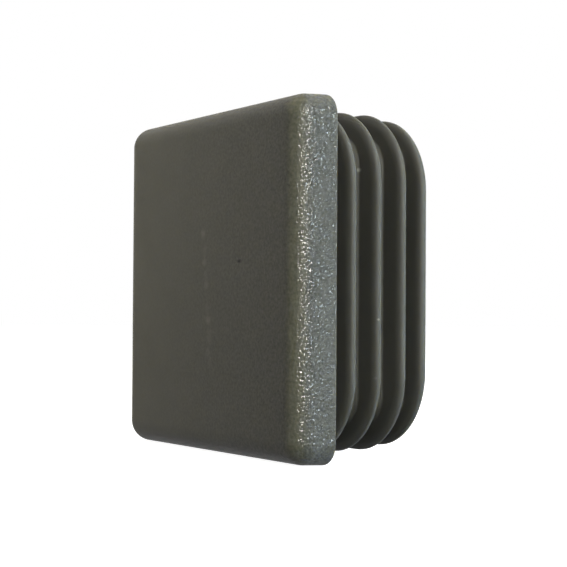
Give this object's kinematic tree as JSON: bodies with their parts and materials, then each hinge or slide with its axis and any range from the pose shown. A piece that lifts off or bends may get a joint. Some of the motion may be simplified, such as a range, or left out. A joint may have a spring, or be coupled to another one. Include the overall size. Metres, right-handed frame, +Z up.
{
  "type": "square tube end cap",
  "caption": "Square ribbed end cap: a thick head with rounded edges closes the tube, and a hollow stem with thin fins grips the inside of its walls.",
  "frame": {"origin": "on the tube's axis, in the plane of the shoulder where the tube's cut end seats", "axes": "+Y along the tube's axis, from the head towards the rim of the stem; the face looks along -Y; +Z up, square to two sides of the head"},
  "size_m": [0.04, 0.0191, 0.04],
  "materials": {
    "moulded_plastic": "matte"
  },
  "bodies": {
    "root": {"end_cap": "moulded_plastic"}
  },
  "joints": []
}
